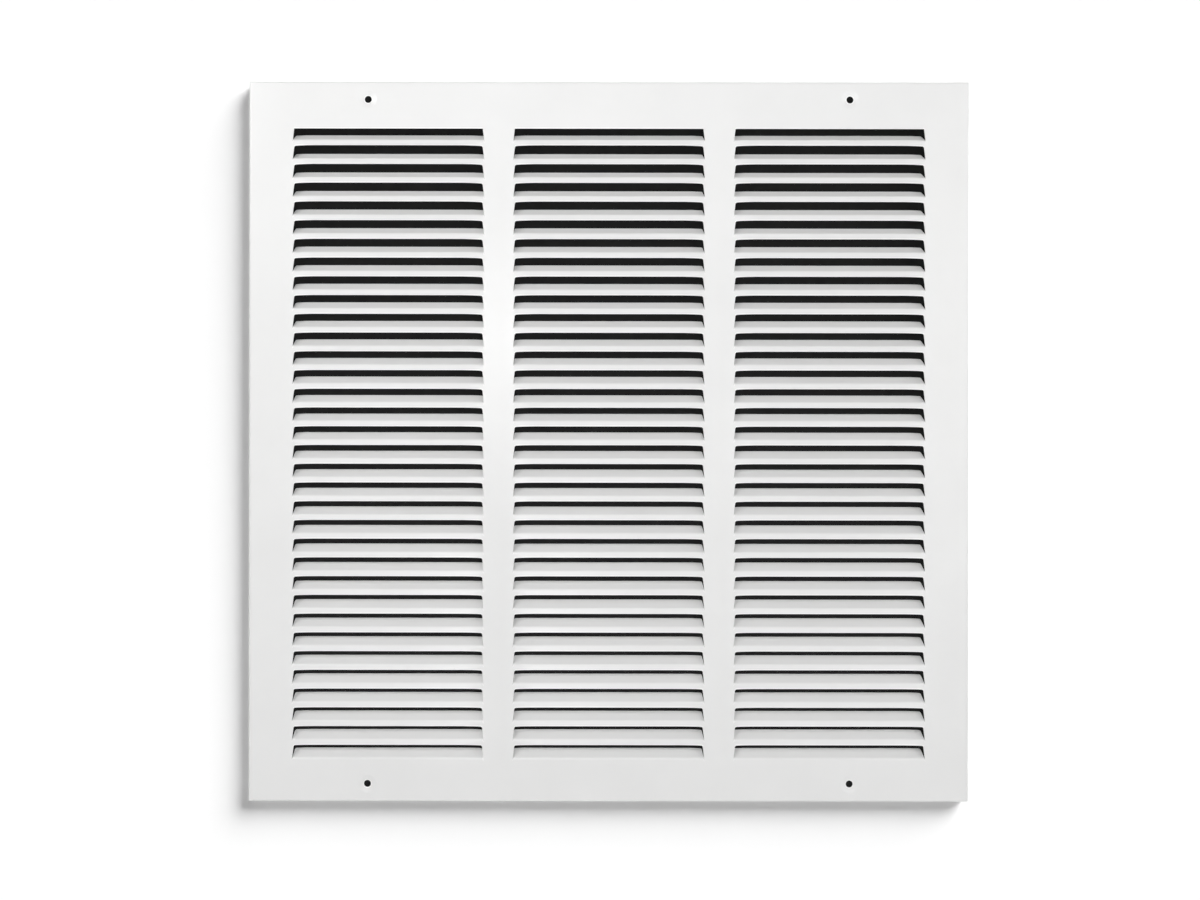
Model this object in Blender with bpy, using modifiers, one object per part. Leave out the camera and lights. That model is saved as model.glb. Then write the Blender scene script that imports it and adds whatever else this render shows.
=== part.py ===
"""Return air grille, pressed from one sheet of steel.

The face is a flat sheet with three columns of lanced louvres. Each louvre is cut free along its top
edge and both ends, and bent back from the strip of sheet below it, which the press draws up and
forward a little. The outside of the sheet is folded back into a rim that stands on the wall, with a
slit at each corner where two folds meet. Four dimpled holes take the wall screws.

The face looks along -Y, up is +Z, and the origin is the middle of the part's box. Sizes are in metres.
"""

import math

import bmesh
import bpy
from mathutils import Matrix, Vector

# Sheet and outline
SHEET_THICKNESS = 0.0006
FACE_WIDTH = 0.50165
FACE_HEIGHT = 0.50165
RIM_DEPTH = 0.0079
RIM_BEND_RADIUS = 0.0018
CORNER_SLIT_WIDTH = 0.0004
CORNER_SLIT_SETBACK = 0.0004

# Louvre field
COLUMNS = 3
SIDE_MARGIN = 0.0304
MULLION_WIDTH = 0.0202
TOP_MARGIN = 0.0329
LEAST_BOTTOM_MARGIN = 0.0250
LOUVRE_PITCH = 0.01304

# Louvre section
STRIP_HEIGHT = 0.00384
STRIP_LIFT = 0.00105
STRIP_BULGE = 0.0007
STRIP_RISE_RUN = 0.014
STRIP_LIFT_POWER = 1 / 6
STRIP_BULGE_POWER = 1 / 2
BLADE_ANGLE = math.radians(53.0)
BLADE_BEND_RADIUS = 0.0020
BEND_END_DROP = 0.0003
BLADE_CORNER_CUT = 0.0013
END_CUT_LEAN = 0.0011
END_CUT_GAP = 0.00015

# Screw holes
HOLE_SPACING = 0.3358
HOLE_EDGE_DISTANCE = 0.0124
HOLE_DIAMETER = 0.0048
DIMPLE_DIAMETER = 0.0134
DIMPLE_DEPTH = 0.0009

# How finely the curves are cut into facets
RIM_BEND_STEPS = 3
BLADE_BEND_STEPS = 2
HOLE_SEGMENTS = 20
DIMPLE_RINGS = 2
EDGE_STATIONS = (0.0, 0.1, 0.4, 1.0)
BEND_STATIONS = (0.0, 0.5)
WELD_DISTANCE = 0.000002
CUTTER_OVERRUN = 0.002

# Sizes that follow from those above
SLOT_ROOT_WIDTH = (FACE_WIDTH - 2 * SIDE_MARGIN - (COLUMNS - 1) * MULLION_WIDTH) / COLUMNS
SLOT_TOP_WIDTH = SLOT_ROOT_WIDTH - 2 * END_CUT_LEAN
COLUMN_PITCH = SLOT_ROOT_WIDTH + MULLION_WIDTH
ROWS = int((FACE_HEIGHT - TOP_MARGIN - LEAST_BOTTOM_MARGIN) / LOUVRE_PITCH)
BEND_LINE_DROP = LOUVRE_PITCH - STRIP_LIFT - STRIP_HEIGHT
BLADE_LENGTH = LOUVRE_PITCH - STRIP_HEIGHT
STRIP_TILT = math.atan2(STRIP_BULGE, STRIP_HEIGHT)
ROOT_DROP = BEND_LINE_DROP + BEND_END_DROP + BLADE_BEND_RADIUS * math.tan(BLADE_ANGLE / 2)
BOX_MIDDLE_DEPTH = (RIM_DEPTH - STRIP_BULGE) / 2

WHITE_ENAMEL = (0.84, 0.84, 0.835, 1.0)


def clear_scene():
    """Remove every object that the file already holds."""
    for thing in list(bpy.data.objects):
        bpy.data.objects.remove(thing, do_unlink=True)


def make_collection(name):
    """Link a new collection to the scene and return it."""
    collection = bpy.data.collections.new(name)
    bpy.context.scene.collection.children.link(collection)
    return collection


def make_material(name, color, roughness, metallic):
    """Return a Principled material of one colour."""
    material = bpy.data.materials.new(name)
    material.use_nodes = True
    shader = material.node_tree.nodes["Principled BSDF"]
    shader.inputs["Base Color"].default_value = color
    shader.inputs["Roughness"].default_value = roughness
    shader.inputs["Metallic"].default_value = metallic
    return material


def chain_edges(bm, points, closed=False):
    """Add vertices at the points, join them in order, and return the edges."""
    verts = [bm.verts.new(point) for point in points]
    pairs = list(zip(verts, verts[1:]))
    if closed:
        pairs.append((verts[-1], verts[0]))
    return [bm.edges.new(pair) for pair in pairs]


def column_centres():
    """Return the x of each column's middle."""
    middle = (COLUMNS - 1) / 2
    return [(index - middle) * COLUMN_PITCH for index in range(COLUMNS)]


def cut_line_height(row):
    """Return the z of a row's cut, counted from the top."""
    return FACE_HEIGHT / 2 - TOP_MARGIN - row * LOUVRE_PITCH


def rise_share(run):
    """Return how much of its full lift the strip's cut edge has, this far in from its end."""
    return min(1.0, run / STRIP_RISE_RUN) ** STRIP_LIFT_POWER


def bulge_share(run):
    """Return how much of its full bulge the strip's cut edge has, this far in from its end."""
    return min(1.0, run / STRIP_RISE_RUN) ** STRIP_BULGE_POWER


def mirrored_stations(shares):
    """Return (side, distance in from that side's end) from the left end to the right one."""
    runs = [share * STRIP_RISE_RUN for share in shares]
    return [(-1, run) for run in runs] + [(1, run) for run in reversed(runs)]


def strip_edge_points(is_last_row):
    """Return the points of a strip's lower edge, cut free or, in the last row, flat in the face."""
    points = []
    for side, run in mirrored_stations(EDGE_STATIONS):
        lift = 0.0 if is_last_row else STRIP_LIFT * rise_share(run)
        bulge = 0.0 if is_last_row else STRIP_BULGE * bulge_share(run)
        points.append(Vector((side * (SLOT_TOP_WIDTH / 2 - run), -bulge, lift - LOUVRE_PITCH)))
    return points


def bend_point(turn, tilt, drop):
    """Return depth and height on the bend's outside, where the sheet has turned this far back."""
    setback = BLADE_BEND_RADIUS * math.tan((BLADE_ANGLE - tilt) / 2)
    centre_depth = BLADE_BEND_RADIUS * math.cos(tilt) - setback * math.sin(tilt)
    centre_drop = BEND_LINE_DROP + drop + setback * math.cos(tilt) + BLADE_BEND_RADIUS * math.sin(tilt)
    depth = centre_depth - BLADE_BEND_RADIUS * math.cos(turn)
    height = BLADE_BEND_RADIUS * math.sin(turn) - centre_drop
    return depth, height


def end_inset(share_of_blade):
    """Return how far in from the slot's root a blade's end lies, at a share of its length."""
    gap = END_CUT_GAP if share_of_blade > 0 else 0.0
    return END_CUT_LEAN * share_of_blade + gap


def bend_row_points(step):
    """Return the points of one row of the bend, from the strip, step 0, to the blade."""
    share = step / BLADE_BEND_STEPS
    points = []
    for side, run in mirrored_stations(BEND_STATIONS):
        at_end = run == 0
        tilt = 0.0 if at_end else STRIP_TILT
        drop = BEND_END_DROP if at_end else 0.0
        depth, height = bend_point(tilt + (BLADE_ANGLE - tilt) * share, tilt, drop)
        turned_length = BLADE_BEND_RADIUS * BLADE_ANGLE * share
        inset = end_inset(turned_length / BLADE_LENGTH) + run
        points.append(Vector((side * (SLOT_ROOT_WIDTH / 2 - inset), depth, height)))
    return points


def blade_edge_points():
    """Return the points of a blade's free top edge, with its corners cut off."""
    points = []
    for side, run, below_top in (
        (-1, 0.0, BLADE_CORNER_CUT),
        (-1, BLADE_CORNER_CUT, 0.0),
        (1, BLADE_CORNER_CUT, 0.0),
        (1, 0.0, BLADE_CORNER_CUT),
    ):
        length = BLADE_LENGTH - below_top
        depth = length * math.sin(BLADE_ANGLE)
        height = length * math.cos(BLADE_ANGLE) - BEND_LINE_DROP
        inset = end_inset(length / BLADE_LENGTH) + run
        points.append(Vector((side * (SLOT_ROOT_WIDTH / 2 - inset), depth, height)))
    return points


def louvre_mesh(name, is_last_row):
    """Return the open surface of one louvre, its strip, bend and blade, below its own cut line."""
    bm = bmesh.new()
    rows = [strip_edge_points(is_last_row)]
    rows += [bend_row_points(step) for step in range(BLADE_BEND_STEPS + 1)]
    rows.append(blade_edge_points())
    chains = [chain_edges(bm, points) for points in rows]
    for lower, upper in zip(chains, chains[1:]):
        bmesh.ops.bridge_loops(bm, edges=lower + upper)
    mesh = bpy.data.meshes.new(name)
    bm.to_mesh(mesh)
    bm.free()
    return mesh


def add_louvres(bm):
    """Copy the louvre into each row of each column."""
    louvre = louvre_mesh("louvre", False)
    last_louvre = louvre_mesh("last_louvre", True)
    for centre in column_centres():
        for row in range(ROWS):
            mesh = last_louvre if row == ROWS - 1 else louvre
            first_new = len(bm.verts)
            bm.from_mesh(mesh)
            bm.verts.ensure_lookup_table()
            bmesh.ops.translate(bm, verts=bm.verts[first_new:], vec=(centre, 0.0, cut_line_height(row)))
    for mesh in (louvre, last_louvre):
        bpy.data.meshes.remove(mesh)


def window_points(centre):
    """Return the outline of one column's window in the flat face."""
    sides = {-1: [], 1: []}
    for side, points in sides.items():
        for row in range(ROWS):
            cut = cut_line_height(row)
            points.append(Vector((centre + side * SLOT_TOP_WIDTH / 2, 0.0, cut)))
            points.append(Vector((centre + side * SLOT_ROOT_WIDTH / 2, 0.0, cut - ROOT_DROP)))
    foot = [point + Vector((centre, 0.0, cut_line_height(ROWS - 1))) for point in strip_edge_points(True)]
    return sides[-1] + foot + list(reversed(sides[1]))


def rim_ring_points(turn):
    """Return the four corners of the outline where the edge has turned this far back."""
    inset = RIM_BEND_RADIUS * (1 - math.sin(turn))
    depth = RIM_BEND_RADIUS * (1 - math.cos(turn))
    half_width = FACE_WIDTH / 2 - inset
    half_height = FACE_HEIGHT / 2 - inset
    corners = ((-1, -1), (1, -1), (1, 1), (-1, 1))
    return [Vector((x * half_width, depth, z * half_height)) for x, z in corners]


def extrude_ring(bm, edges, place):
    """Extrude a closed ring of edges, move each new vertex with place, and return the new ring."""
    made = bmesh.ops.extrude_edge_only(bm, edges=edges)["geom"]
    for vert in (item for item in made if isinstance(item, bmesh.types.BMVert)):
        vert.co = place(vert.co)
    return [item for item in made if isinstance(item, bmesh.types.BMEdge) and item.is_boundary]


def add_rim(bm, edges):
    """Fold the face's outline back, round the bend and down to the wall."""
    for step in range(1, RIM_BEND_STEPS + 1):
        corners = rim_ring_points(math.pi / 2 * step / RIM_BEND_STEPS)

        def to_ring(point, corners=corners):
            """Return the new ring's corner on the same side of the middle."""
            return next(c for c in corners if c.x * point.x > 0 and c.z * point.z > 0)

        edges = extrude_ring(bm, edges, to_ring)
    extrude_ring(bm, edges, lambda point: Vector((point.x, RIM_DEPTH, point.z)))


def hole_centres():
    """Return the middle of each screw hole."""
    half_height = FACE_HEIGHT / 2 - HOLE_EDGE_DISTANCE
    return [Vector((x * HOLE_SPACING / 2, 0.0, z * half_height)) for x in (-1, 1) for z in (-1, 1)]


def add_dimple(bm, centre, edges):
    """Sink the ring of edges to the screw hole in a shallow dish."""
    outer = DIMPLE_DIAMETER / 2
    inner = HOLE_DIAMETER / 2
    for step in range(1, DIMPLE_RINGS + 1):
        share = step / DIMPLE_RINGS
        radius = outer + (inner - outer) * share
        depth = DIMPLE_DEPTH * math.sin(math.pi / 2 * share)

        def to_ring(point, radius=radius, depth=depth):
            """Return the point at the ring's radius and depth, in the same direction."""
            away = Vector((point.x - centre.x, 0.0, point.z - centre.z)).normalized()
            return centre + away * radius + Vector((0.0, depth, 0.0))

        edges = extrude_ring(bm, edges, to_ring)


def add_face(bm):
    """Fill the flat face round the windows and the dimples, then add the dimples and the rim."""
    outline = chain_edges(bm, rim_ring_points(0.0), closed=True)
    edges = list(outline)
    for centre in column_centres():
        edges += chain_edges(bm, window_points(centre), closed=True)
    upright = Matrix.Rotation(math.pi / 2, 4, "X")
    dimples = []
    for centre in hole_centres():
        ring = bmesh.ops.create_circle(
            bm,
            segments=HOLE_SEGMENTS,
            radius=DIMPLE_DIAMETER / 2,
            matrix=Matrix.Translation(centre) @ upright,
        )
        ring_edges = list({edge for vert in ring["verts"] for edge in vert.link_edges})
        dimples.append((centre, ring_edges))
        edges += ring_edges
    bmesh.ops.triangle_fill(bm, use_beauty=True, use_dissolve=False, edges=edges, normal=(0.0, -1.0, 0.0))
    for centre, ring_edges in dimples:
        add_dimple(bm, centre, ring_edges)
    add_rim(bm, outline)


def face_outwards(bm):
    """Turn every face the same way, with the flat face looking along -Y."""
    bmesh.ops.recalc_face_normals(bm, faces=bm.faces)
    bm.normal_update()
    largest = max(bm.faces, key=lambda face: face.calc_area())
    if largest.normal.y > 0:
        bmesh.ops.reverse_faces(bm, faces=bm.faces)


def make_corner_cutter(name, x_side, z_side, collection):
    """Make the thin plate that cuts the slit between two folds at one corner of the rim."""
    bpy.ops.mesh.primitive_cube_add(size=1.0)
    cutter = bpy.context.object
    cutter.name = name
    front = RIM_BEND_RADIUS + CORNER_SLIT_SETBACK
    length = RIM_DEPTH + CUTTER_OVERRUN - front
    reach = 2 * (math.sqrt(2) * SHEET_THICKNESS + CUTTER_OVERRUN)
    cutter.dimensions = (CORNER_SLIT_WIDTH, length, reach)
    bpy.ops.object.transform_apply(location=False, rotation=False, scale=True)
    cutter.rotation_euler = (0.0, x_side * z_side * math.pi / 4, 0.0)
    depth = front + length / 2 - BOX_MIDDLE_DEPTH
    cutter.location = (x_side * FACE_WIDTH / 2, depth, z_side * FACE_HEIGHT / 2)
    cutter.display_type = "WIRE"
    cutter.hide_render = True
    for owner in list(cutter.users_collection):
        owner.objects.unlink(cutter)
    collection.objects.link(cutter)
    return cutter


def make_panel(parts, cutters):
    """Build the whole grille as one sheet."""
    bm = bmesh.new()
    add_face(bm)
    add_louvres(bm)
    bmesh.ops.remove_doubles(bm, verts=bm.verts, dist=WELD_DISTANCE)
    face_outwards(bm)
    bmesh.ops.translate(bm, verts=bm.verts, vec=(0.0, -BOX_MIDDLE_DEPTH, 0.0))
    mesh = bpy.data.meshes.new("grille_panel")
    bm.to_mesh(mesh)
    bm.free()
    panel = bpy.data.objects.new("grille_panel", mesh)
    parts.objects.link(panel)
    panel.data.materials.append(make_material("white_enamel", WHITE_ENAMEL, 0.42, 0.0))

    wall = panel.modifiers.new("sheet_thickness", "SOLIDIFY")
    wall.thickness = SHEET_THICKNESS
    wall.offset = -1.0
    wall.use_even_offset = True
    wall.use_quality_normals = True
    for x_side in (-1, 1):
        for z_side in (-1, 1):
            name = f"corner_cutter_{'left' if x_side < 0 else 'right'}_{'bottom' if z_side < 0 else 'top'}"
            slit = panel.modifiers.new(name, "BOOLEAN")
            slit.operation = "DIFFERENCE"
            slit.solver = "EXACT"
            slit.object = make_corner_cutter(name, x_side, z_side, cutters)
    return panel


def main():
    """Model the grille."""
    clear_scene()
    parts = make_collection("return_air_grille")
    cutters = make_collection("cutters")
    make_panel(parts, cutters)


main()
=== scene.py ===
"""A white return air grille on a pale wall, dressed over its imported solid.

The grille is one pressed sheet of steel with a baked white powder coat. It is modelled here as that one
sheet: a louvre tile is cut, bent and drawn up once, copied down and across the face, and joined to the
margins, the screw dimples and the folded rim. The face looks along -Y and +Z is up, in metres.
"""

import logging
import math
from dataclasses import dataclass, field
from enum import Enum
from typing import Callable, Iterable

import bmesh
import bpy
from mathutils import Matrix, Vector


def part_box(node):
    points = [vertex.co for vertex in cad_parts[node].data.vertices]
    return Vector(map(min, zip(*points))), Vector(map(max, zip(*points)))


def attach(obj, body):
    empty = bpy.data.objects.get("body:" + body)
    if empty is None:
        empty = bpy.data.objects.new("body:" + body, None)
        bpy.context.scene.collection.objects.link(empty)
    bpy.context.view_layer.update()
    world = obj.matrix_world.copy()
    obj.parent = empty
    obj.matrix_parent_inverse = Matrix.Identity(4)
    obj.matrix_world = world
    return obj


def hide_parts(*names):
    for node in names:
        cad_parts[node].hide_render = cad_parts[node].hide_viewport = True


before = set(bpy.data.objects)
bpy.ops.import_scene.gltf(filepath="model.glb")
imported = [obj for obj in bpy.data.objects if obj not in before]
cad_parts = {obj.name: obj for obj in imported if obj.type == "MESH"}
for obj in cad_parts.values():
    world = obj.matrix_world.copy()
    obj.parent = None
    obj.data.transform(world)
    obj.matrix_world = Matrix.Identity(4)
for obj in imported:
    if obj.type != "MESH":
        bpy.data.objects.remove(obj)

LOG = logging.getLogger("grille_scene")

# Two lengths that differ by less than this are the same but for rounding.
NEAR = 0.00001

# Places along a row that agree in this many decimals are one place.
PLACE_DIGITS = 6

# A strip has this many rows of vertices below its bend.
STRIP_ROWS = 3

ORIGIN = Vector((0.0, 0.0, 0.0))
ACROSS = Vector((1.0, 0.0, 0.0))
UP = Vector((0.0, 0.0, 1.0))

# The two sides of the grille's middle, by the sign of x or of z.
SIDES = (-1, 1)

# The Mix node's sockets for colours, which share their names with its other sockets.
MIX_FACTOR = 0
MIX_FIRST = 6
MIX_SECOND = 7
MIX_RESULT = 2


class StripEnd(Enum):
    """How the strip under a louvre ends at its lower edge."""

    CUT_FREE = "cut free and drawn up over the next opening"
    IN_MARGIN = "running on into the bottom margin"


class SheetSlot(Enum):
    """The material slots of the sheet, in order."""

    FACE = 0
    EDGE_BAND = 1
    # painted highlight: the bands along the cut edges are coloured lighter than the face
    CUT_EDGE = 2
# painted highlight: the sheet's cut thickness is coloured lighter than the face


class Lit(Enum):
    """What a lamp is turned on: the grille and the floor, or the wall behind them."""

    GRILLE = "lit_grille"
    WALL = "lit_wall"

    def group(self) -> bpy.types.Collection:
        """Return the collection of what is lit, made when it is first asked for."""
        return bpy.data.collections.get(self.value) or bpy.data.collections.new(self.value)


def close_to(value: float, wanted: float) -> bool:
    """Say whether two lengths are the same but for rounding."""
    return abs(value - wanted) < NEAR


def extrude(step: tuple[float, float, float]) -> None:
    """Extrude the selected edges by a step."""
    bpy.ops.mesh.extrude_region_move(TRANSFORM_OT_translate={"value": step})


def stretch(factors: tuple[float, float, float], centre: Vector = ORIGIN) -> None:
    """Resize what is selected about a centre."""
    bpy.ops.transform.resize(value=factors, center_override=centre)


@dataclass
class Bench:
    """A mesh object on the bench, shaped with edit-mode operators.

    Attributes:
        thing: The mesh object that is being shaped.
    """

    thing: bpy.types.Object

    @classmethod
    def with_plane(cls, name: str, width: float, height: float, centre: Vector) -> "Bench":
        """Lay an upright plane that looks along -Y on the bench.

        Args:
            name: The new object's name.
            width: The plane's size along X.
            height: The plane's size along Z.
            centre: The plane's middle.

        Returns:
            The bench, in edit mode with the whole plane selected.
        """
        bpy.ops.object.select_all(action="DESELECT")
        bpy.ops.mesh.primitive_plane_add(size=1.0, rotation=(math.pi / 2, 0.0, 0.0))
        bpy.ops.object.transform_apply()
        bench = cls(bpy.context.object)
        bench.thing.name = name
        bench.thing.data.name = name
        bench.edit()
        stretch((width, 1.0, height))
        bpy.ops.transform.translate(value=centre)
        return bench

    def take(self) -> None:
        """Make this object the only selected one, and the active one."""
        bpy.ops.object.select_all(action="DESELECT")
        self.thing.select_set(True)
        bpy.context.view_layer.objects.active = self.thing

    def edit(self) -> None:
        """Take this object and open it in edit mode, with all of it selected."""
        self.take()
        bpy.ops.object.mode_set(mode="EDIT")
        bpy.ops.mesh.select_mode(type="VERT")
        bpy.ops.mesh.select_all(action="SELECT")

    def close(self) -> bpy.types.Object:
        """Leave edit mode and return the object."""
        bpy.ops.object.mode_set(mode="OBJECT")
        return self.thing

    def pick(self, test: Callable[[bmesh.types.BMVert], bool]) -> None:
        """Select the vertices that pass a test, and the edges and faces between them.

        Args:
            test: Says whether a vertex is wanted.
        """
        bpy.ops.mesh.select_mode(type="VERT")
        bpy.ops.mesh.select_all(action="DESELECT")
        mesh = bmesh.from_edit_mesh(self.thing.data)
        for vert in [vert for vert in mesh.verts if test(vert)]:
            vert.select_set(True)
        mesh.select_flush_mode()
        bmesh.update_edit_mesh(self.thing.data)

    def pick_faces(self, test: Callable[[bmesh.types.BMFace], bool]) -> None:
        """Select the faces that pass a test.

        Args:
            test: Says whether a face is wanted.
        """
        bpy.ops.mesh.select_mode(type="FACE")
        bpy.ops.mesh.select_all(action="DESELECT")
        mesh = bmesh.from_edit_mesh(self.thing.data)
        for face in [face for face in mesh.faces if test(face)]:
            face.select_set(True)
        bmesh.update_edit_mesh(self.thing.data)

    def cut(self, direction: Vector, places: Iterable[float]) -> None:
        """Cut the selected faces square to a direction, and select the whole sheet after each cut.

        Args:
            direction: ACROSS for upright cuts, or UP for level ones.
            places: How far along that direction each cut lies.
        """
        for place in places:
            bpy.ops.mesh.bisect(plane_co=direction * place, plane_no=direction)
            bpy.ops.mesh.select_all(action="SELECT")

    def open_window(self, half_width: float, low: float, high: float) -> None:
        """Take out the faces that lie within an opening round x = 0.

        Args:
            half_width: How far the opening reaches to each side.
            low: The z of its lower edge.
            high: The z of its upper edge.
        """

        def inside(face: bmesh.types.BMFace) -> bool:
            """Say whether a face's middle is in the opening."""
            middle = face.calc_center_median()
            return abs(middle.x) < half_width and low < middle.z < high

        self.pick_faces(inside)
        bpy.ops.mesh.delete(type="FACE")

    def modify(self, kind: str, **values: object) -> None:
        """Add a modifier with these values and apply it.

        Args:
            kind: The modifier's type.
            **values: Its settings by name.
        """
        self.take()
        modifier = self.thing.modifiers.new(kind.lower(), kind)
        for name, value in values.items():
            setattr(modifier, name, value)
        bpy.ops.object.modifier_apply(modifier=modifier.name)


@dataclass
class LouvreTile:
    """One louvre with the half mullions at its two ends, below its own cut line at z = 0.

    Attributes:
        front: The y of the strips' free edges, which stand furthest forward.
        mullion_width: The upright bar between two columns, at its narrowest.
        pitch: The tile's height, from one cut line to the next.
        root_width: The opening's width at the bend, where it is widest.
        end_lean: How far each end of the opening leans in towards the cut lines.
        blade_lean: How far each end of the blade leans in towards its free edge.
        end_gap: The slit between a blade's end and the face, beside the bend.
        strip_height: The height of the drawn strip, from the bend line to its free edge.
        strip_lift: How far up the free edge is drawn.
        strip_bulge: How far forward it is drawn.
        rise_run: The distance from each end over which it rises.
        settle_share: The share of that distance over which the bend reaches its full height.
        bend_radius: The bend's radius on the outside.
        blade_angle: How far back the blade is bent.
        end_drop: How much lower the bend lies at its two ends.
        corner_radius: The radius on a blade's two free corners.
        trim: What the punch takes off a blade's free edge.
        band: The width of the band along a cut edge, which is coloured lighter than the face as a painted
            highlight.
        bend_steps: The facets round the bend.
        lift_power: How soon the strip rises, as a power of the way in from its end.
        bulge_power: How soon it comes forward, as a power of that way.
        flare_power: How the strip curves forward towards its free edge, as a power of the way down.
        station_runs: The distances from the strip's end at which it is cut across.
    """

    front: float
    mullion_width: float = 0.0202
    pitch: float = 0.01304
    root_width: float = 0.13348
    end_lean: float = 0.0011
    blade_lean: float = 0.00062
    end_gap: float = 0.0001
    strip_height: float = 0.00384
    strip_lift: float = 0.00135
    strip_bulge: float = 0.0007
    rise_run: float = 0.014
    settle_share: float = 0.5
    bend_radius: float = 0.0020
    blade_angle: float = math.radians(55.5)
    end_drop: float = 0.0003
    corner_radius: float = 0.0009
    trim: float = 0.0002
    band: float = 0.0008
    bend_steps: int = 4
    lift_power: float = 1 / 6
    bulge_power: float = 1 / 2
    flare_power: float = 1.5
    station_runs: tuple[float, ...] = (0.0006, 0.0016, 0.0038, 0.0075, 0.0140)

    def __post_init__(self) -> None:
        """Work out the face's place, the tile's width and the section's levels below the cut line."""
        self.face_depth = self.front + self.strip_bulge
        self.column_pitch = self.root_width + self.mullion_width
        bend_line = self.pitch - self.strip_lift - self.strip_height
        self.blade_length = self.pitch - self.strip_height - self.trim
        self.setback = self.bend_radius * math.tan(self.blade_angle / 2)
        self.root_level = -(bend_line + self.end_drop + self.setback)
        self.band_level = self.band - self.pitch
        self.middle_level = (self.root_level + self.band_level) / 2
        self.half_root = self.root_width / 2
        self.half_top = self.half_root - self.end_lean
        self.bend_end = STRIP_ROWS + self.bend_steps
        self.bend_top = self.root_level + self.bend_radius * math.sin(self.blade_angle)
        self.bend_centre = self.face_depth + self.bend_radius
        straight = self.blade_length - self.setback - self.band
        back = math.sin(self.blade_angle)
        rise = math.cos(self.blade_angle)
        self.blade_steps = [(length * back, length * rise) for length in (straight, self.band)]

    def section(self) -> list[tuple[float, float]]:
        """Work out the tile's section, from the strip's lower edge to the blade's top.

        Returns:
            The y and z of each row of vertices.
        """
        levels = (-self.pitch, self.band_level, self.middle_level)
        rows = [(self.face_depth, level) for level in levels]
        for step in range(self.bend_steps + 1):
            turn = self.blade_angle * step / self.bend_steps
            y = self.bend_centre - self.bend_radius * math.cos(turn)
            rows.append((y, self.root_level + self.bend_radius * math.sin(turn)))
        for back, rise in self.blade_steps:
            y, z = rows[-1]
            rows.append((y + back, z + rise))
        return rows

    def build(self, name: str, strip_end: StripEnd) -> bpy.types.Object:
        """Cut, bend and draw one louvre out of a flat tile of sheet.

        Args:
            name: The new object's name.
            strip_end: How the strip's lower edge ends.

        Returns:
            The tile as an open surface, with its cut line at z = 0 and its middle at x = 0.
        """
        middle = Vector((0.0, self.face_depth, -self.pitch / 2))
        bench = Bench.with_plane(name, self.column_pitch, self.pitch, middle)
        bench.cut(ACROSS, (-self.half_root, self.half_root))
        bench.cut(UP, (self.root_level, self.middle_level, self.band_level))
        bench.open_window(self.half_root, self.root_level, 0.0)
        self.cut_stations(bench)
        self.bend_blade(bench)
        self.lean_ends(bench)
        self.draw_up(bench, strip_end)
        return bench.close()

    def cut_stations(self, bench: Bench) -> None:
        """Cut the strip across at each station from left to right, leaving the half mullions whole.

        Args:
            bench: The tile, in edit mode.
        """
        right = [self.half_root - run for run in self.station_runs]
        for x in [-x for x in right] + right[::-1]:
            bench.pick_faces(lambda face: abs(face.calc_center_median().x) < self.half_root)
            bench.cut(ACROSS, (x,))

    def bend_blade(self, bench: Bench) -> None:
        """Spin the strip's top edge back round the bend and pull the blade out of it.

        Args:
            bench: The tile, in edit mode.
        """
        bench.pick(lambda vert: self.in_row(vert, (self.face_depth, self.root_level)))
        bpy.ops.mesh.spin(
            steps=self.bend_steps,
            angle=self.blade_angle,
            use_auto_merge=False,
            center=(0.0, self.bend_centre, self.root_level),
            axis=ACROSS,
        )
        for back, rise in self.blade_steps:
            extrude((0.0, back, rise))

    def in_row(self, vert: bmesh.types.BMVert, row: tuple[float, float]) -> bool:
        """Say whether a vertex is in the row across the opening that has this y and z."""
        level = close_to(vert.co.y, row[0]) and close_to(vert.co.z, row[1])
        return level and abs(vert.co.x) < self.half_root + NEAR

    def lean_ends(self, bench: Bench) -> None:
        """Draw each row in to the leaning ends of its opening, or to the ends of the blade.

        Args:
            bench: The tile, in edit mode.
        """
        rows = self.section()
        squeezes = []
        for y, z in rows[:STRIP_ROWS]:
            lean = self.end_lean * (self.root_level - z) / (self.root_level + self.pitch)
            squeezes.append(((y, z), lean))
        for y, z in rows[STRIP_ROWS + 1:]:
            share = math.hypot(y - self.face_depth, z - self.root_level) / self.blade_length
            squeezes.append(((y, z), self.blade_lean * share + self.end_gap))
        squeezes.append(((self.face_depth, 0.0), self.end_lean))
        for row, inset in squeezes:
            bench.pick(lambda vert: self.in_row(vert, row))
            stretch((1 - inset / self.half_root, 1.0, 1.0))

    def draw_up(self, bench: Bench, strip_end: StripEnd) -> None:
        """Draw the strip up and forward between its ends, and round the blade's corners.

        Args:
            bench: The tile.
            strip_end: How the strip's lower edge ends.
        """
        mesh = bmesh.from_edit_mesh(bench.thing.data)
        moves = []
        for index, row in enumerate(self.section()):
            across = [vert.co.x for vert in mesh.verts if self.in_row(vert, row)]
            for place in sorted({round(abs(x), PLACE_DIGITS) for x in across}):
                run = max(0.0, max(across) - place)
                shift = self.shift_at(index, row[1], run, strip_end)
                if shift.length > NEAR / 10:
                    moves.append((row, place, shift))
        for row, place, shift in moves:
            bench.pick(lambda vert: self.in_row(vert, row) and close_to(abs(vert.co.x), place))
            bpy.ops.transform.translate(value=shift)

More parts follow.
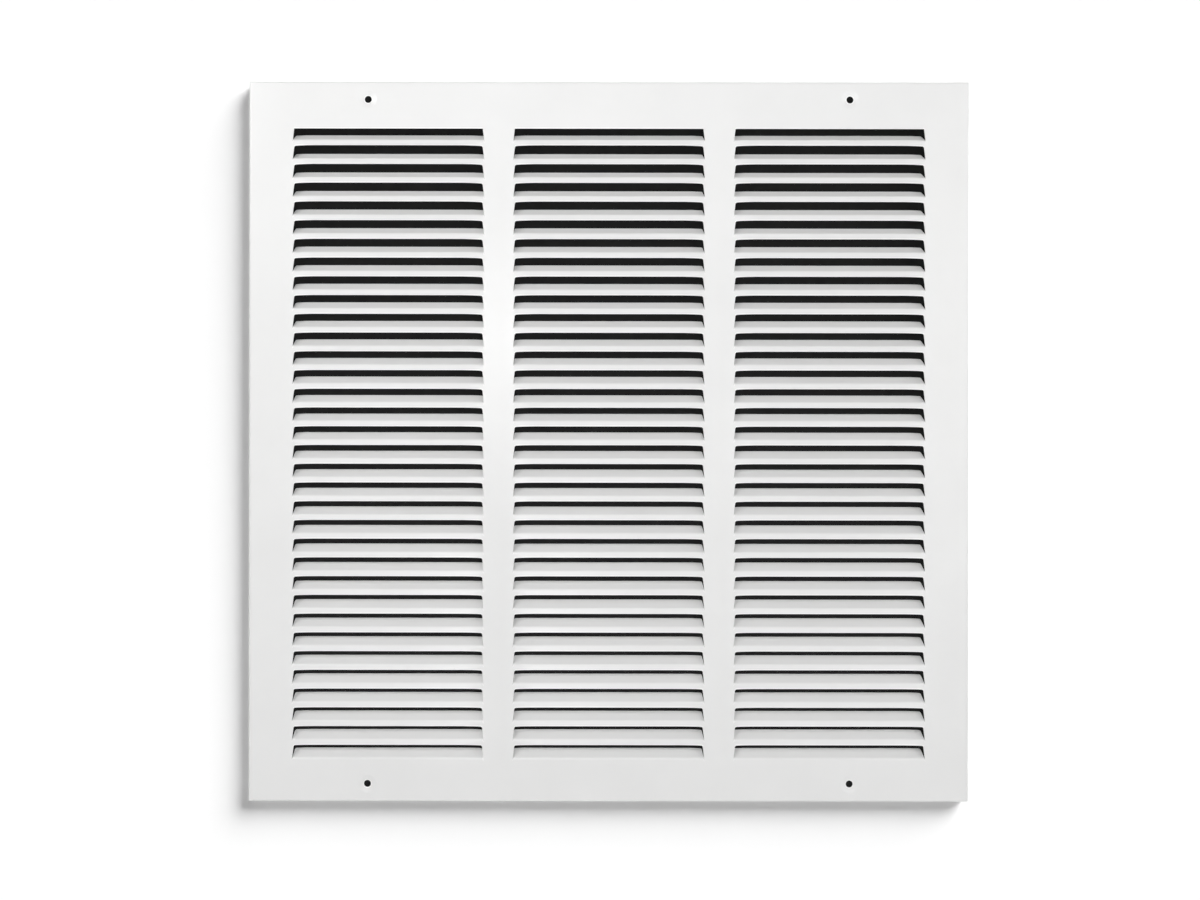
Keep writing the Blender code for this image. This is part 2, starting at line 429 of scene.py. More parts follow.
    def shift_at(self, index: int, z: float, run: float, strip_end: StripEnd) -> Vector:
        """Return how far the press moves one pair of vertices.

        Args:
            index: The number of their row, counted from the strip's lower edge.
            z: That row's z.
            run: Their distance in from the end of the row.
            strip_end: How the strip's lower edge ends.

        Returns:
            The move, the same for the left and the right vertex.
        """
        share = min(1.0, run / self.rise_run)
        settle = self.end_drop * min(1.0, run / (self.settle_share * self.rise_run))
        if index > self.bend_end:
            return self.round_corner(run, settle)
        down = max(0.0, (self.root_level - z) / (self.root_level + self.pitch))
        lift = settle * (1 - down)
        flare = self.flare_at(z)
        if strip_end is StripEnd.IN_MARGIN and index < STRIP_ROWS:
            flare = self.flare_at(self.root_level) * (1 - down)
        else:
            lift += self.strip_lift * share ** self.lift_power * down
        return Vector((0.0, -self.strip_bulge * flare * share ** self.bulge_power, lift))

    def flare_at(self, z: float) -> float:
        """Return which share of the strip's bulge the section has at this z."""
        return max(0.0, (self.bend_top - z) / (self.bend_top + self.pitch)) ** self.flare_power

    def round_corner(self, run: float, settle: float) -> Vector:
        """Return the move of a blade's vertices at a distance in from its end.

        Args:
            run: That distance.
            settle: How far the bend below them rises.

        Returns:
            The move, down the blade by what the rounded corner takes off.
        """
        short = self.corner_radius - min(run, self.corner_radius)
        taken = self.corner_radius - math.sqrt(self.corner_radius ** 2 - short ** 2)
        back = -taken * math.sin(self.blade_angle)
        return Vector((0.0, back, settle - taken * math.cos(self.blade_angle)))


@dataclass
class ScrewDimple:
    """A shallow pressed dish with a screw hole in its middle.

    Attributes:
        diameter: The dish's outer diameter.
        hole_diameter: The screw hole's diameter.
        depth: How deep the dish is at the hole.
        segments: The facets round the dish.
        rings: The steps from its rim down to the hole.
        shoulder: How rounded the dish's rim is, as a power of the way in.
    """

    diameter: float = 0.0134
    hole_diameter: float = 0.0048
    depth: float = 0.0009
    segments: int = 40
    rings: int = 6
    shoulder: float = 1.35

    def press(self, bench: Bench, centre: Vector) -> None:
        """Sink the dimple into the flat face that holds its place.

        Args:
            bench: The sheet, in edit mode.
            centre: The middle of the hole, on the face.
        """
        host = self.open_face(bench, centre)
        radius = self.diameter / 2
        bpy.ops.mesh.primitive_circle_add(
            vertices=self.segments,
            radius=radius,
            location=centre,
            rotation=(math.pi / 2, 0.0, 0.0),
        )
        bench.pick(
            lambda vert: close_to((vert.co - centre).length, radius)
            or any((vert.co - corner).length < NEAR for corner in host)
        )
        bpy.ops.mesh.fill()
        bench.pick(lambda vert: close_to((vert.co - centre).length, radius))
        last_depth = 0.0
        for ring in range(1, self.rings + 1):
            share = ring / self.rings
            new_radius = self.diameter / 2 + (self.hole_diameter - self.diameter) / 2 * share
            new_depth = self.depth * math.sin(math.pi / 2 * share ** self.shoulder)
            extrude((0.0, new_depth - last_depth, 0.0))
            stretch((new_radius / radius, 1.0, new_radius / radius), centre)
            radius = new_radius
            last_depth = new_depth

    def open_face(self, bench: Bench, centre: Vector) -> list[Vector]:
        """Take out the flat face round a dimple, and keep its edges.

        Args:
            bench: The sheet, in edit mode.
            centre: The middle of the dimple's hole, on the face.

        Returns:
            The places of that face's corners.
        """
        mesh = bmesh.from_edit_mesh(bench.thing.data)
        reach = self.diameter / 2

        def holds(face: bmesh.types.BMFace) -> bool:
            """Say whether the whole dish lies inside this face.

            Args:
                face: The face to test.

            Returns:
                True where it does.
            """
            xs = [vert.co.x - centre.x for vert in face.verts]
            zs = [vert.co.z - centre.z for vert in face.verts]
            return all(min(runs) < -reach and max(runs) > reach for runs in (xs, zs))

        corners = [vert.co.copy() for face in mesh.faces if holds(face) for vert in face.verts]
        bench.pick_faces(holds)
        bpy.ops.mesh.delete(type="ONLY_FACE")
        bpy.ops.mesh.select_mode(type="VERT")
        return corners


@dataclass
class GrilleSheet:
    """The whole grille, pressed from one sheet and coated white.

    Attributes:
        low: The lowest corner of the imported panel.
        high: Its highest corner.
        thickness: The sheet's thickness.
        columns: How many columns of louvres stand side by side.
        rows: How many louvres stand in a column.
        top_margin: From the face's top edge to the first cut line.
        rim_radius: The outside radius of the fold round the face.
        rim_steps: The facets round that fold.
        slit_width: The slit where two folds meet at a corner.
        slit_setback: How far behind the fold's bend it starts.
        edge_radius: How round the coat leaves a cut edge.
        edge_steps: The facets of that rounding.
        band_slack: How much wider than the band along a cut edge a face in it may be.
        smooth_angle: The sharpest edge that is still shaded smooth.
        hole_spacing: The distance between the two screw holes of a margin.
        hole_edge_distance: From the face's top or bottom edge to a screw hole.
        dimple: The dish round a screw hole.
    """

    low: Vector
    high: Vector
    thickness: float = 0.0006
    columns: int = 3
    rows: int = 34
    top_margin: float = 0.0329
    rim_radius: float = 0.0018
    rim_steps: int = 6
    slit_width: float = 0.0004
    slit_setback: float = 0.0004
    edge_radius: float = 0.00016
    edge_steps: int = 2
    band_slack: float = 1.2
    smooth_angle: float = math.radians(60.0)
    hole_spacing: float = 0.3358
    hole_edge_distance: float = 0.0124
    dimple: ScrewDimple = field(default_factory=ScrewDimple)

    def __post_init__(self) -> None:
        """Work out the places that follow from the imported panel's box."""
        self.half_width = (self.high.x - self.low.x) / 2
        self.half_height = (self.high.z - self.low.z) / 2
        self.louvre = LouvreTile(front=self.low.y)
        self.face_depth = self.louvre.face_depth
        self.first_column = -(self.columns - 1) / 2 * self.louvre.column_pitch
        self.first_cut = self.half_height - self.top_margin
        self.last_line = self.first_cut - self.rows * self.louvre.pitch
        self.flat_half_width = self.half_width - self.rim_radius
        self.flat_half_height = self.half_height - self.rim_radius

    def build(self) -> bpy.types.Object:
        """Press the whole sheet.

        Returns:
            The finished grille, with no material yet.
        """
        parts = [*self.louvre_field(), self.top_strip()]
        bench = Bench(parts[0])
        bench.take()
        for part in parts[1:]:
            part.select_set(True)
        bpy.ops.object.join()
        sheet = bench.thing
        sheet.name = "grille_sheet"
        sheet.data.name = "grille_sheet"
        for _ in SheetSlot:
            sheet.data.materials.append(None)
        bench.edit()
        bpy.ops.mesh.remove_doubles(threshold=NEAR / 2)
        self.widen_margins(bench)
        self.fold_rim(bench)
        self.open_corners(bench)
        for x_sign in SIDES:
            for z_sign in SIDES:
                across = x_sign * self.hole_spacing / 2
                height = z_sign * (self.half_height - self.hole_edge_distance)
                self.dimple.press(bench, Vector((across, self.face_depth, height)))
        self.face_forwards(bench)
        self.mark_highlight_bands(bench)
        bench.close()
        bench.modify(
            "SOLIDIFY",
            thickness=self.thickness,
            offset=-1.0,
            use_even_offset=True,
            use_quality_normals=True,
            material_offset_rim=SheetSlot.CUT_EDGE.value,
        )
        self.round_cut_edges(bench)
        self.smooth(bench)
        return sheet

    def louvre_field(self) -> list[bpy.types.Object]:
        """Set the louvres out over the face.

        Returns:
            The object with all rows but the last, and the one with the last row.
        """
        parts = []
        for name, strip_end, first_row, count in (
            ("louvres", StripEnd.CUT_FREE, 0, self.rows - 1),
            ("last_louvres", StripEnd.IN_MARGIN, self.rows - 1, 1),
        ):
            tile = self.louvre.build(name, strip_end)
            self.set_out(tile, first_row, count)
            parts.append(tile)
        return parts

    def top_strip(self) -> bpy.types.Object:
        """Make the top margin over the columns, with a line over each opening's two corners.

        Returns:
            The strip of sheet above the first cut lines.
        """
        height = self.flat_half_height - self.first_cut
        centre = Vector((0.0, self.face_depth, height / 2))
        bench = Bench.with_plane("top_margin", self.louvre.column_pitch, height, centre)
        bench.cut(ACROSS, (-self.louvre.half_top, self.louvre.half_top))
        bench.cut(UP, (self.louvre.band,))
        strip = bench.close()
        self.set_out(strip, 0, 1)
        return strip

    def set_out(self, part: bpy.types.Object, first_row: int, count: int) -> None:
        """Move a part to its row of the first column, and copy it down and across the face.

        Args:
            part: The mesh object, with its cut line at z = 0 and its middle at x = 0.
            first_row: The row of its first copy, counted from the top.
            count: How many rows have a copy.
        """
        bench = Bench(part)
        bench.edit()
        cut_line = self.first_cut - first_row * self.louvre.pitch
        bpy.ops.transform.translate(value=(self.first_column, 0.0, cut_line))
        bench.close()
        for copies, step in (
            (count, (0.0, 0.0, -self.louvre.pitch)),
            (self.columns, (self.louvre.column_pitch, 0.0, 0.0)),
        ):
            bench.modify(
                "ARRAY",
                count=copies,
                use_relative_offset=False,
                use_constant_offset=True,
                constant_offset_displace=step,
            )

    def widen_margins(self, bench: Bench) -> None:
        """Pull the outermost edges out to where the rim's bend begins.

        Args:
            bench: The sheet, in edit mode.
        """
        field_half = self.columns * self.louvre.column_pitch / 2
        bench.pick(lambda vert: close_to(vert.co.z, self.last_line))
        extrude((0.0, 0.0, -self.flat_half_height - self.last_line))
        for side in SIDES:
            bench.pick(lambda vert: close_to(vert.co.x, side * field_half))
            extrude((side * (self.flat_half_width - field_half), 0.0, 0.0))

    def fold_rim(self, bench: Bench) -> None:
        """Fold the sheet back all round, in small steps round the bend and then straight to the wall.

        Args:
            bench: The sheet, in edit mode.
        """
        bench.pick(
            lambda vert: close_to(abs(vert.co.x), self.flat_half_width)
            or close_to(abs(vert.co.z), self.flat_half_height)
        )
        width = self.flat_half_width
        height = self.flat_half_height
        depth = 0.0
        for step in range(1, self.rim_steps + 1):
            turn = math.pi / 2 * step / self.rim_steps
            grown = self.rim_radius * math.sin(turn)
            new_width = self.flat_half_width + grown
            new_height = self.flat_half_height + grown
            new_depth = self.rim_radius * (1 - math.cos(turn))
            extrude((0.0, new_depth - depth, 0.0))
            stretch((new_width / width, 1.0, new_height / height))
            width, height, depth = new_width, new_height, new_depth
        straight = self.high.y - self.face_depth - depth
        for length in (self.slit_setback, straight - self.slit_setback):
            extrude((0.0, length, 0.0))

    def open_corners(self, bench: Bench) -> None:
        """Part the folds at each corner of the rim, where the blank was notched.

        Args:
            bench: The sheet, in edit mode.
        """
        bend_end = self.face_depth + self.rim_radius

        def at_corner(vert: bmesh.types.BMVert, start: float) -> bool:
            """Say whether a vertex lies on one of the rim's corners, at or behind a depth.

            Args:
                vert: The vertex to test.
                start: That depth.

            Returns:
                True where it does.
            """
            beside = close_to(abs(vert.co.x), self.half_width)
            level = close_to(abs(vert.co.z), self.half_height)
            return beside and level and vert.co.y > start - NEAR

        def on_level_fold(vert: bmesh.types.BMVert) -> bool:
            """Say whether a vertex belongs to the top or the bottom fold alone."""
            return all(abs(face.normal.z) > abs(face.normal.x) for face in vert.link_faces)

        bench.pick(lambda vert: at_corner(vert, bend_end))
        bpy.ops.mesh.edge_split()
        slit_start = bend_end + self.slit_setback
        inset = self.slit_width / 2
        for level, factors in (
            (True, (1 - inset / self.half_width, 1.0, 1.0)),
            (False, (1.0, 1.0, 1 - inset / self.half_height)),
        ):
            bench.pick(lambda vert: at_corner(vert, slit_start) and on_level_fold(vert) == level)
            stretch(factors)

    def face_forwards(self, bench: Bench) -> None:
        """Turn every face to the outside of the sheet, the flat face towards -Y.

        Args:
            bench: The sheet, in edit mode.
        """
        bpy.ops.mesh.select_mode(type="FACE")
        bpy.ops.mesh.select_all(action="SELECT")
        bpy.ops.mesh.normals_make_consistent(inside=False)
        mesh = bmesh.from_edit_mesh(bench.thing.data)
        largest = max(mesh.faces, key=lambda face: face.calc_area())
        if largest.normal.y > 0:
            bpy.ops.mesh.flip_normals()

    def mark_highlight_bands(self, bench: Bench) -> None:
        """Give the narrow bands along the cut edges their own slot, whose lighter colour is a painted
        highlight.

        Args:
            bench: The sheet, in edit mode.
        """
        widest = self.band_slack * self.louvre.band

        def in_band(face: bmesh.types.BMFace) -> bool:
            """Say whether a face is one of the narrow ones along a cut edge.

            Args:
                face: The face to test.

            Returns:
                True where it is.
            """
            if not any(edge.is_boundary for edge in face.edges):
                return False
            long_edge = max(face.edges, key=lambda edge: edge.calc_length())
            return face.calc_area() / long_edge.calc_length() < widest

        bench.pick_faces(in_band)
        bench.thing.active_material_index = SheetSlot.EDGE_BAND.value
        bpy.ops.object.material_slot_assign()

    def round_cut_edges(self, bench: Bench) -> None:
        """Round the two edges of the sheet's thickness wherever it is cut.

        Args:
            bench: The sheet, in object mode.
        """
        bench.edit()
        bench.pick_faces(lambda face: face.material_index == SheetSlot.CUT_EDGE.value)
        bpy.ops.mesh.region_to_loop()
        bpy.ops.mesh.bevel(offset=self.edge_radius, segments=self.edge_steps, clamp_overlap=True)
        bench.close()

    def smooth(self, bench: Bench) -> None:
        """Shade the bends and rounded edges smooth, with the flats kept flat.

        Args:
            bench: The sheet, in object mode.
        """
        bench.take()
        bpy.ops.object.shade_smooth_by_angle(angle=self.smooth_angle)
        bench.modify("WEIGHTED_NORMAL", keep_sharp=True)


def combine(
    tree: bpy.types.NodeTree,
    operation: str,
    first: float | bpy.types.NodeSocket,
    second: float | bpy.types.NodeSocket,
) -> bpy.types.NodeSocket:
    """Add a Math node that works on two values.

    Args:
        tree: The node tree to add it to.
        operation: What the node does, such as ADD.
        first: A number, or the socket that it comes from.
        second: The other value, in the same way.

    Returns:
        The socket that holds the result.
    """
    node = tree.nodes.new("ShaderNodeMath")
    node.operation = operation
    for socket, value in zip(node.inputs, (first, second)):
        if isinstance(value, bpy.types.NodeSocket):
            tree.links.new(value, socket)
        else:
            socket.default_value = value
    return node.outputs[0]


# The layers of the coat's relief, each with how many finer layers its noise has.
RELIEF_LAYERS = {"Peel": 1.0, "Grain": 2.0, "Wave": 0.0}

# The patches' noise: its finer layers, and its values where the coat is thinnest and thickest.
PATCH_DETAIL = 3.0
THINNEST_PATCH = 0.3
THICKEST_PATCH = 0.7


@dataclass(frozen=True)
class CoatTools:
    """The shader node groups that the coated surfaces share."""

    relief: bpy.types.NodeTree
    cover: bpy.types.NodeTree

    @classmethod
    def make(cls) -> "CoatTools":
        """Build both groups once."""
        return cls(relief=cls.make_relief(), cover=cls.make_cover())

    @staticmethod
    def start_group(name: str, inputs: Iterable[str], outputs: Iterable[str]) -> bpy.types.NodeTree:
        """Make an empty group with its sockets.

        Args:
            name: The group's name.
            inputs: Its inputs' names. One that ends in Vector or Color has that type.
            outputs: Its outputs' names, in the same way.

        Returns:
            The group, with one input and one output node.
        """
        group = bpy.data.node_groups.new(name, "ShaderNodeTree")
        for direction, labels in (("INPUT", inputs), ("OUTPUT", outputs)):
            for label in labels:
                last = label.split()[-1]
                kind = "NodeSocket" + (last if last in ("Vector", "Color") else "Float")
                group.interface.new_socket(name=label, in_out=direction, socket_type=kind)
        group.nodes.new("NodeGroupInput")
        group.nodes.new("NodeGroupOutput")
        return group

    @staticmethod
    def noise(group: bpy.types.NodeTree, size: str, detail: float) -> bpy.types.NodeSocket:
        """Add a noise whose bumps have the width that a group input gives.

        Args:
            group: The group to add it to.
            size: The input's name, a length in metres.
            detail: How many finer layers the noise has.

        Returns:
            The socket that holds the noise, from 0 to 1.
        """
        source = group.nodes["Group Input"]
        noise = group.nodes.new("ShaderNodeTexNoise")
        noise.inputs["Detail"].default_value = detail
        per_metre = combine(group, "DIVIDE", 1.0, source.outputs[size])
        group.links.new(per_metre, noise.inputs["Scale"])
        group.links.new(source.outputs["Vector"], noise.inputs["Vector"])
        return noise.outputs["Fac"]

    @classmethod
    def make_relief(cls) -> bpy.types.NodeTree:
        """Make the group for the coat's relief: orange peel, fine grain and the sheet's slow waves.

        Returns:
            The group.
        """
        sizes = [f"{layer} {size}" for layer in RELIEF_LAYERS for size in ("Width", "Depth")]
        group = cls.start_group("coat_relief", ("Vector", *sizes), ("Height",))
        source = group.nodes["Group Input"]
        total = 0.0
        for layer, detail in RELIEF_LAYERS.items():
            bumps = cls.noise(group, f"{layer} Width", detail)
            height = combine(group, "MULTIPLY", bumps, source.outputs[f"{layer} Depth"])
            total = combine(group, "ADD", total, height)
        group.links.new(total, group.nodes["Group Output"].inputs["Height"])
        return group

    @classmethod
    def make_cover(cls) -> bpy.types.NodeTree:
        """Make the group for the coat's cover: a little whiter and smoother where it lies thicker.

        Returns:
            The group.
        """
        values = [f"{coat} {value}" for value in ("Color", "Roughness") for coat in ("Thin", "Thick")]
        inputs = ("Vector", "Patch Width", *values)
        group = cls.start_group("coat_cover", inputs, ("Color", "Roughness"))
        source = group.nodes["Group Input"]
        result = group.nodes["Group Output"]
        patches = cls.noise(group, "Patch Width", PATCH_DETAIL)
        spread = group.nodes.new("ShaderNodeMapRange")
        spread.inputs["From Min"].default_value = THINNEST_PATCH
        spread.inputs["From Max"].default_value = THICKEST_PATCH
        group.links.new(patches, spread.inputs["Value"])
        tint = group.nodes.new("ShaderNodeMix")
        tint.data_type = "RGBA"
        group.links.new(spread.outputs["Result"], tint.inputs[MIX_FACTOR])
        group.links.new(source.outputs["Thin Color"], tint.inputs[MIX_FIRST])
        group.links.new(source.outputs["Thick Color"], tint.inputs[MIX_SECOND])
        group.links.new(tint.outputs[MIX_RESULT], result.inputs["Color"])
        gloss = group.nodes.new("ShaderNodeMapRange")
        group.links.new(spread.outputs["Result"], gloss.inputs["Value"])
        group.links.new(source.outputs["Thin Roughness"], gloss.inputs["To Min"])
        group.links.new(source.outputs["Thick Roughness"], gloss.inputs["To Max"])
        group.links.new(gloss.outputs["Result"], result.inputs["Roughness"])
        return group


@dataclass(frozen=True)
class PowderCoat:
    """A baked white powder coat on steel.

    Attributes:
        name: The material's name.
        thin_color: Its colour where it lies thinnest.
        thick_color: Its colour where it lies thickest.
        thin_roughness: Its roughness where it lies thinnest.
        thick_roughness: Its roughness where it lies thickest.
        patch_width: The width of the thicker and thinner patches.
        peel_width: The width of the bumps of its orange peel.
        peel_depth: Their height.
        grain_width: The width of its fine grain.
        grain_depth: The grain's height.
        wave_width: The width of the sheet's own slow waves.
        wave_depth: Their height.
        gloss: How strong the clear gloss on top of the powder is.
        gloss_roughness: That gloss's roughness.
    """

    name: str
    thin_color: tuple[float, float, float, float]
    thick_color: tuple[float, float, float, float]
    thin_roughness: float = 0.46
    thick_roughness: float = 0.38
    patch_width: float = 0.06
    peel_width: float = 0.0022
    peel_depth: float = 0.000012
    grain_width: float = 0.0004
    grain_depth: float = 0.000002
    wave_width: float = 0.11
    wave_depth: float = 0.0003
    gloss: float = 0.35
    gloss_roughness: float = 0.22

    def build(self, tools: CoatTools) -> bpy.types.Material:
        """Make the material.

        Args:
            tools: The node groups that all coats share.

        Returns:
            The new material.
        """
        material = bpy.data.materials.new(self.name)
        material.use_nodes = True
        nodes = material.node_tree.nodes
        links = material.node_tree.links
        shader = nodes["Principled BSDF"]
        shader.inputs["Coat Weight"].default_value = self.gloss
        shader.inputs["Coat Roughness"].default_value = self.gloss_roughness
        place = nodes.new("ShaderNodeTexCoord").outputs["Object"]
        relief = self.add_group(material.node_tree, tools.relief, place)
        cover = self.add_group(material.node_tree, tools.cover, place)
        bump = nodes.new("ShaderNodeBump")
        bump.inputs["Distance"].default_value = 1.0
        links.new(relief.outputs["Height"], bump.inputs["Height"])
        links.new(bump.outputs["Normal"], shader.inputs["Normal"])
        links.new(cover.outputs["Color"], shader.inputs["Base Color"])
        links.new(cover.outputs["Roughness"], shader.inputs["Roughness"])
        return material

    def add_group(
        self, tree: bpy.types.NodeTree, group: bpy.types.NodeTree, place: bpy.types.NodeSocket
    ) -> bpy.types.Node:
        """Put a shared group into the material and give its inputs this coat's own values.

        Args:
            tree: The material's node tree.
            group: The group, whose inputs have the names of this coat's fields, such as Peel Width.
            place: The socket with the place on the surface.

        Returns:
            The node that holds the group.
        """
        node = tree.nodes.new("ShaderNodeGroup")
        node.node_tree = group
        tree.links.new(place, node.inputs["Vector"])
        for socket in node.inputs:
            if socket.name != "Vector":
                socket.default_value = getattr(self, socket.name.lower().replace(" ", "_"))
        return node


@dataclass(frozen=True)
class StudioSurface:
    """A pale or dark studio surface that is seen from its front only.

    Attributes:
        name: The material's name.
        color: Its colour.
        lift: How much white it adds where it is seen, to keep a pale background pale.
    """

    name: str
    color: tuple[float, float, float, float]
    lift: float = 0.0

    def build(self) -> bpy.types.Material:
        """Make the material.

        Returns:
            The new material.
        """
        material = bpy.data.materials.new(self.name)
        material.use_nodes = True
        tree = material.node_tree
        nodes = tree.nodes
        links = tree.links
        nodes.remove(nodes["Principled BSDF"])
        result = nodes["Material Output"]
        matt = nodes.new("ShaderNodeBsdfDiffuse")
        matt.inputs["Color"].default_value = self.color
        glow = nodes.new("ShaderNodeEmission")
        strength = combine(tree, "MULTIPLY", rays_that_see(tree), self.lift)
        links.new(strength, glow.inputs["Strength"])
        front = nodes.new("ShaderNodeAddShader")
        links.new(matt.outputs[0], front.inputs[0])
        links.new(glow.outputs[0], front.inputs[1])
        clear = nodes.new("ShaderNodeBsdfTransparent")
        geometry = nodes.new("ShaderNodeNewGeometry")
        sides = nodes.new("ShaderNodeMixShader")
        links.new(geometry.outputs["Backfacing"], sides.inputs[0])
        links.new(front.outputs[0], sides.inputs[1])
        links.new(clear.outputs[0], sides.inputs[2])
        links.new(sides.outputs[0], result.inputs["Surface"])
        return material


def rays_that_see(tree: bpy.types.NodeTree) -> bpy.types.NodeSocket:
    """Return a socket that is 1 for camera, glossy and transmission rays, and 0 for the rest.

    Args:
        tree: The material's or the world's node tree.

    Returns:
        The output socket.
    """
    path = tree.nodes.new("ShaderNodeLightPath")
    seen = path.outputs["Is Camera Ray"]
    for name in ("Is Glossy Ray", "Is Transmission Ray"):
        seen = combine(tree, "MAXIMUM", seen, path.outputs[name])
    return seen


@dataclass
class Studio:
    """The pale wall that the grille hangs on, its duct opening closed behind by a near-black card of
    painted shade, the floor and the pale surroundings.

    Attributes:
        rim_depth: The y of the rear edges of the grille's rim.
        wall_gap: How far behind them the wall stands, so that the two don't share a plane.
        opening: The width and height of the duct opening behind the louvres.
        duct_depth: How far behind the wall the near-black card stands that paints the shade inside the
            duct.
        duct_overlap: How far that card reaches beyond the opening on each side.
        floor_drop: How far below the grille's middle the floor lies.
        reach: The size of the wall and the floor.
        surround: The grey of the light that comes from all round.
    """

    rim_depth: float
    wall_gap: float = 0.0001
    opening: float = 0.49
    duct_depth: float = 0.012
    duct_overlap: float = 0.1
    floor_drop: float = 0.36
    reach: float = 5.0
    surround: float = 0.08
    wall: StudioSurface = StudioSurface("pale_wall", (0.86, 0.86, 0.86, 1.0), lift=0.20)
    # Painted shade: a near-black card stands in for the shade inside the duct.
    duct: StudioSurface = StudioSurface("dark_duct", (0.03, 0.03, 0.03, 1.0))
    floor: StudioSurface = StudioSurface("pale_floor", (0.35, 0.35, 0.35, 1.0), lift=0.68)

    def __post_init__(self) -> None:
        """Work out where the wall stands."""
        self.wall_depth = self.rim_depth + self.wall_gap

    def build(self) -> list[bpy.types.Object]:
        """Build the wall, the near-black card of painted duct shade, the floor and the world.

        Returns:
            The three surfaces, in that order.
        """
        wall = self.make_wall()
        made = [wall, self.make_duct_shade(), self.make_floor()]
        for thing in made:
            thing.visible_shadow = False
            lit = Lit.WALL if thing is wall else Lit.GRILLE
            lit.group().objects.link(thing)
        self.make_surroundings()
        return made

    def make_wall(self) -> bpy.types.Object:
        """Make the wall, open where the duct is.

        Returns:
            The wall.
        """
        centre = Vector((0.0, self.wall_depth, self.reach / 2 - self.floor_drop))
        bench = Bench.with_plane("studio_wall", self.reach, self.reach, centre)
        half = self.opening / 2
        bench.cut(ACROSS, (-half, half))
        bench.cut(UP, (-half, half))
        bench.open_window(half, -half, half)
        wall = bench.close()
        wall.data.materials.append(self.wall.build())
        return wall

    def make_duct_shade(self) -> bpy.types.Object:
        """Make the near-black card behind the louvres, painted shade that stands in for the deep, unlit
        duct.

        Returns:
            The surface.
        """
        centre = Vector((0.0, self.wall_depth + self.duct_depth, 0.0))
        size = self.opening + 2 * self.duct_overlap
        duct = Bench.with_plane("duct_end", size, size, centre).close()
        duct.data.materials.append(self.duct.build())
        return duct

    def make_floor(self) -> bpy.types.Object:
        """Make the floor, which runs on under the wall.

        Returns:
            The floor.
        """
        bpy.ops.object.select_all(action="DESELECT")
        bpy.ops.mesh.primitive_plane_add(size=2 * self.reach, location=(0.0, 0.0, -self.floor_drop))
        floor = bpy.context.object
        floor.name = "studio_floor"
        floor.data.materials.append(self.floor.build())
        return floor

    def make_surroundings(self) -> None:
        """Light the scene evenly from all round, and show white where nothing stands."""
        world = bpy.data.worlds.new("studio")
        world.use_nodes = True
        tree = world.node_tree
        back = tree.nodes["Background"]
        back.inputs["Color"].default_value = (1.0, 1.0, 1.0, 1.0)
        strength = combine(tree, "MAXIMUM", rays_that_see(tree), self.surround)
        tree.links.new(strength, back.inputs["Strength"])
        bpy.context.scene.world = world


def hang_lamp(name: str, kind: str, lit: Lit) -> bpy.types.Object:
    """Add a lamp to the scene and return it.

    Args:
        name: The lamp's name.
        kind: Its type, such as AREA.
        lit: What it is turned on.

    Returns:
        The lamp, still at the origin.
    """
    lamp = bpy.data.objects.new(name, bpy.data.lights.new(name, kind))
    bpy.context.scene.collection.objects.link(lamp)
    lamp.light_linking.receiver_collection = lit.group()
    return lamp


@dataclass(frozen=True)
class SoftLamp:
    """A square studio lamp with a soft front, turned on the grille's middle.

    Attributes:
        name: The lamp's name.
        place: Where it hangs.
        power: Its power in watts.
        size: The length of its side.
    """

    name: str
    place: tuple[float, float, float]
    power: float
    size: float

    def build(self) -> None:
        """Hang the lamp."""
        lamp = hang_lamp(self.name, "AREA", Lit.GRILLE)
        lamp.data.shape = "SQUARE"
        lamp.data.size = self.size
        lamp.data.energy = self.power
        lamp.location = self.place
        aim = ORIGIN - Vector(self.place)
        lamp.rotation_euler = aim.to_track_quat("-Z", "Y").to_euler()
        lamp.visible_camera = False


@dataclass(frozen=True)
class WallLight:
    """The broad distant light on the wall, from which the grille's shadow there comes.

    Attributes:
        direction: From the grille to the light.
        strength: Its strength in watts per square metre.
        spread: How wide it looks from the wall.
    """

    direction: tuple[float, float, float] = (2.2, -1.0, 2.5)
    strength: float = 8.8
    spread: float = math.radians(40.0)

    def build(self) -> None:
        """Hang the light."""
        lamp = hang_lamp("wall_light", "SUN", Lit.WALL)
        lamp.data.energy = self.strength
        lamp.data.angle = self.spread
        lamp.rotation_euler = Vector(self.direction).to_track_quat("Z", "Y").to_euler()
        lamp.visible_glossy = False


@dataclass(frozen=True)
class PhotoCamera:
    """The camera, straight in front of the face and a little to the left.

    Attributes:
        distance: From the flat face to the lens.
        left: How far left of the grille's middle it stands.
        lens: The focal length in millimetres.
        sensor: The sensor's width in millimetres.
        shift_right: The frame's shift to the right, as a share of its width.
        shift_up: Its shift up, as a share of its width.
        roll: How far the camera is turned about its own line of sight.
    """

    distance: float = 0.750
    left: float = 0.0484
    lens: float = 32.32
    sensor: float = 36.0
    shift_right: float = 0.0506
    shift_up: float = -0.0070
    roll: float = math.radians(-0.07)

    def build(self, face_depth: float) -> None:
        """Set the camera up in front of the grille.

        Args:
            face_depth: The y of its flat face.
        """
        data = bpy.data.cameras.new("camera")
        data.lens = self.lens
        data.sensor_width = self.sensor
        data.shift_x = self.shift_right
        data.shift_y = self.shift_up
        camera = bpy.data.objects.new("camera", data)
        bpy.context.scene.collection.objects.link(camera)
        camera.location = (-self.left, face_depth - self.distance, 0.0)
        camera.rotation_euler = (math.pi / 2, self.roll, 0.0)
        bpy.context.scene.camera = camera


# The coat flows smoother where it gathers along the edges.
EDGE_FLOW = {"thin_roughness": 0.40, "thick_roughness": 0.32}

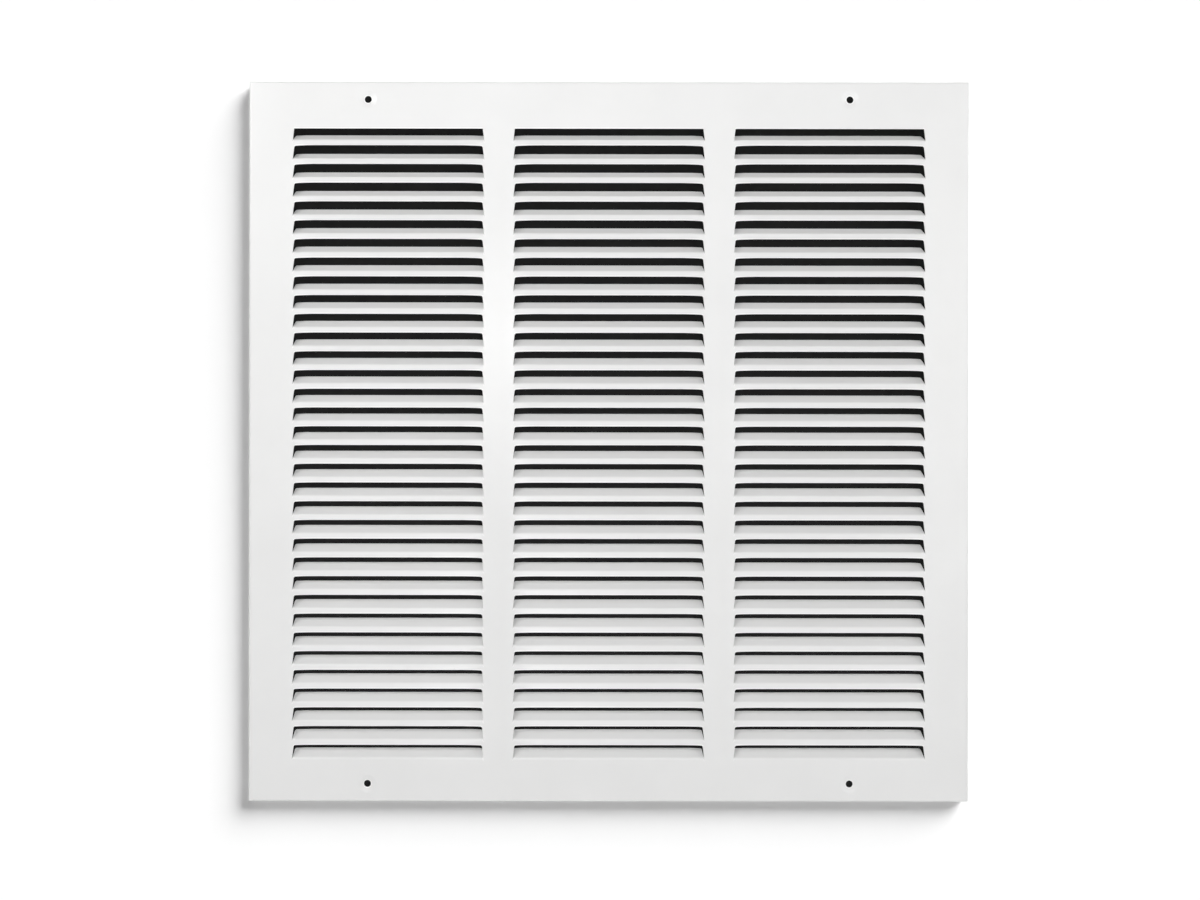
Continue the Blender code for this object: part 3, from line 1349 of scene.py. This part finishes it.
FACE_COAT = PowderCoat("white_enamel", (0.835, 0.835, 0.83, 1.0), (0.86, 0.86, 0.855, 1.0))
# Painted highlight: the bands along the cut edges are coloured much lighter than the face, standing in
# for the bright lines of light along them.
EDGE_HIGHLIGHT_COAT = PowderCoat(
    "white_enamel_edge", (0.955, 0.955, 0.95, 1.0), (0.975, 0.975, 0.97, 1.0), **EDGE_FLOW
)
# Painted highlight: the sheet's cut thickness is also coloured lighter than the face.
CUT_HIGHLIGHT_COAT = PowderCoat("white_enamel_cut", (0.91, 0.91, 0.905, 1.0), (0.94, 0.94, 0.935, 1.0), **EDGE_FLOW)

# The soft lamps, each with its name, its place, its power in watts and its size in metres.
LAMPS = (
    SoftLamp("front_high", (0.0, -1.5, 1.0), 1.6, 1.0),
    SoftLamp("front_mid", (0.0, -1.6, 0.75), 1.9, 0.8),
    SoftLamp("left_high", (-1.0, -1.2, 0.7), 10.8, 0.6),
    SoftLamp("right_high", (1.2, -1.2, 0.7), 2.1, 0.6),
    SoftLamp("right", (1.6, -1.0, 0.2), 6.8, 1.0),
    SoftLamp("right_front", (0.8, -1.6, 0.1), 3.4, 0.8),
    SoftLamp("shine", (-0.12, -1.7, 0.23), 4.2, 0.35),
    SoftLamp("low", (0.0, -0.9, -3.0), 19.0, 1.0),
    SoftLamp("behind", (-0.5, 1.3, -0.5), 10.0, 1.0),
)


def main() -> None:
    """Build the scene in order and report each piece."""
    logging.basicConfig(level=logging.INFO, format="%(message)s")
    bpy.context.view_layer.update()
    low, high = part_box("grille_panel")
    maker = GrilleSheet(low=low, high=high)
    sheet = maker.build()
    tools = CoatTools.make()
    for slot, coat in zip(SheetSlot, (FACE_COAT, EDGE_HIGHLIGHT_COAT, CUT_HIGHLIGHT_COAT)):
        sheet.data.materials[slot.value] = coat.build(tools)
    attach(sheet, "root")
    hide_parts("grille_panel")
    Lit.GRILLE.group().objects.link(sheet)
    LOG.info("sheet: %d faces", len(sheet.data.polygons))
    for thing in Studio(rim_depth=high.y).build():
        LOG.info("stage: %s", thing.name)
    for lamp in (*LAMPS, WallLight()):
        lamp.build()
    PhotoCamera().build(maker.face_depth)
    bpy.context.scene.view_settings.view_transform = "Standard"


if __name__ == "__main__":
    main()
